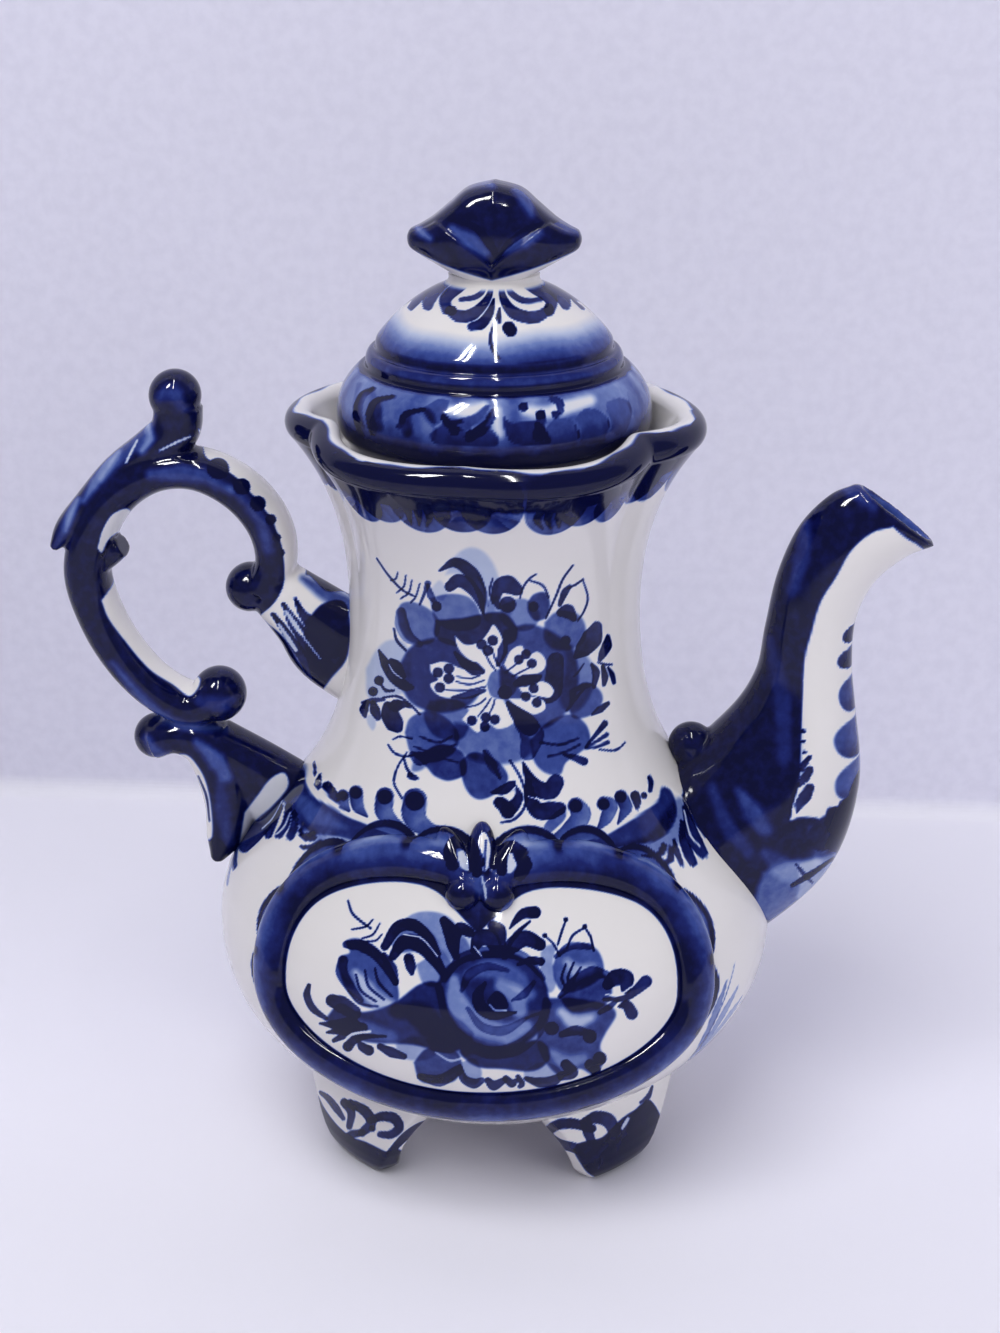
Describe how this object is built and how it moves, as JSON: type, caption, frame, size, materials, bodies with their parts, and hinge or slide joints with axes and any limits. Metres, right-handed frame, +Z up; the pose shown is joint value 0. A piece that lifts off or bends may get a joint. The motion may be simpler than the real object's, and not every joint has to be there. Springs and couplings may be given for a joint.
{
  "type": "porcelain teapot",
  "caption": "Tall footed porcelain teapot with a flared lobed rim, domed lift-off lid, scroll handle and swan-neck spout, painted in cobalt blue on white.",
  "frame": {"origin": "on the table surface, under the vertical axis of the pot", "axes": "+Z up, +X towards the spout, -Y towards the side with the front cartouche; the handle is at -X"},
  "size_m": [0.2042, 0.134, 0.231],
  "materials": {
    "porcelain_body": "clear gloss glaze over white porcelain, hand-painted in cobalt",
    "porcelain_foot": "clear gloss glaze over white porcelain, hand-painted in cobalt",
    "cobalt_frame": "clear gloss glaze over cobalt",
    "cobalt_spout": "clear gloss glaze over cobalt",
    "cobalt_handle": "clear gloss glaze over cobalt",
    "porcelain_lid": "clear gloss glaze over white porcelain, hand-painted in cobalt",
    "porcelain_collar": "clear gloss glaze over white porcelain, hand-painted in cobalt",
    "cobalt_knob": "clear gloss glaze over cobalt"
  },
  "bodies": {
    "pot": {"body": "porcelain_body", "foot_front_left": "porcelain_foot", "foot_front_right": "porcelain_foot", "foot_back_left": "porcelain_foot", "foot_back_right": "porcelain_foot", "frame_front": "cobalt_frame", "frame_back": "cobalt_frame", "spout": "cobalt_spout", "handle": "cobalt_handle"},
    "lid": {"lid": "porcelain_lid", "lid_collar": "porcelain_collar", "lid_knob": "cobalt_knob"}
  },
  "joints": [
    {"name": "lid_lift", "type": "slide", "parent": "pot", "child": "lid", "axis": [0, 0, 1], "range_m": [0, 0.07]}
  ]
}
